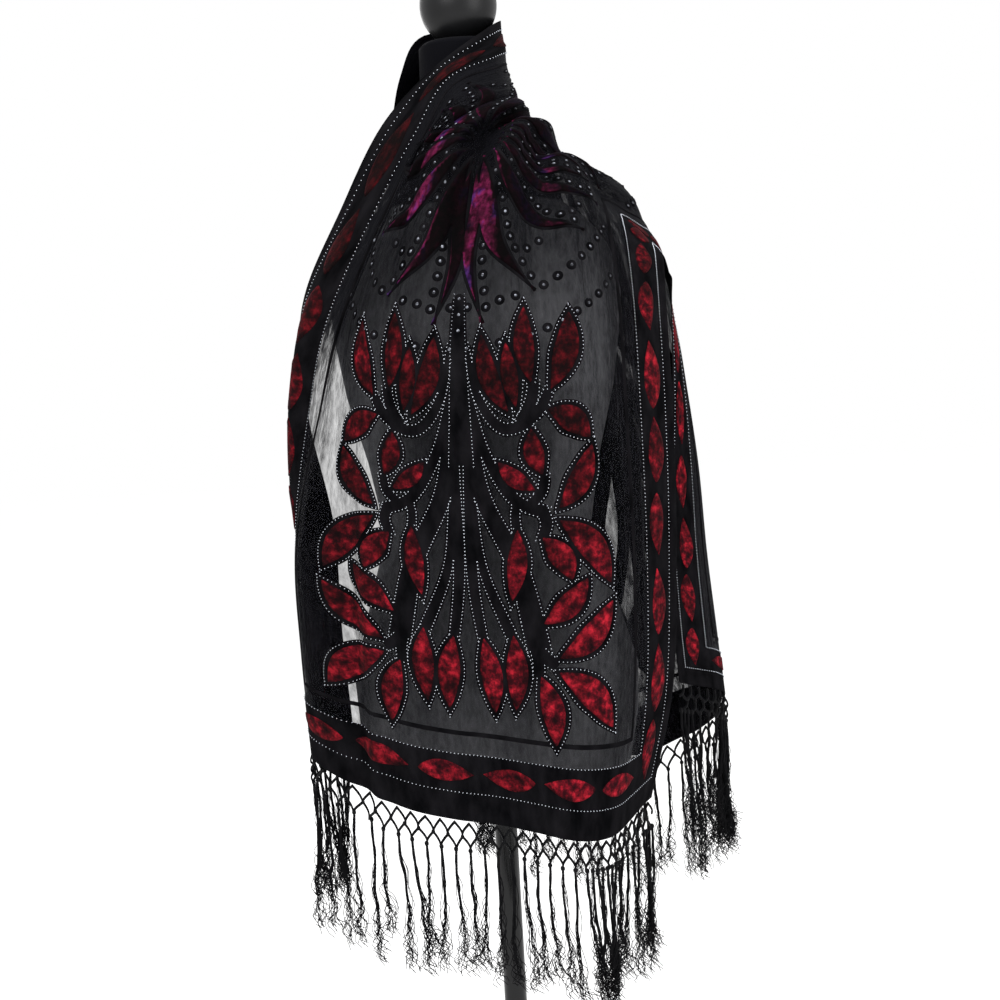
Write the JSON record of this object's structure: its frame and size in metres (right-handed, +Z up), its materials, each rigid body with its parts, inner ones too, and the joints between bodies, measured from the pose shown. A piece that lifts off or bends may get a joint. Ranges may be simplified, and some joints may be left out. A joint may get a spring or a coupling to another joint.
{
  "type": "velvet shawl on dress form",
  "caption": "Sheer shawl with velvet leaf borders and a knotted fringe, draped over a limbless dress form on a pole stand.",
  "frame": {"origin": "centre of the round base plate's underside, on the floor under the pole", "axes": "+Z up along the pole, the front of the form faces -Y, and +X is the side of the draped shoulder"},
  "size_m": [0.5229, 0.3983, 1.6344],
  "materials": {
    "form_jersey": "matte jersey",
    "gloss_black": "gloss",
    "pole_black": "gloss black paint",
    "base_black": "satin black paint",
    "black_velvet": "burn-out velvet on a sheer ground",
    "black_thread": "twisted silky thread"
  },
  "bodies": {
    "root": {"form_torso": "form_jersey", "neck_knob": "gloss_black", "stand_pole": "pole_black", "stand_base": "base_black", "shawl_front_panel": "black_velvet", "shawl_shoulder_wrap": "black_velvet", "shawl_back_panel": "black_velvet", "front_fringe": "black_thread", "back_fringe": "black_thread"}
  },
  "joints": []
}
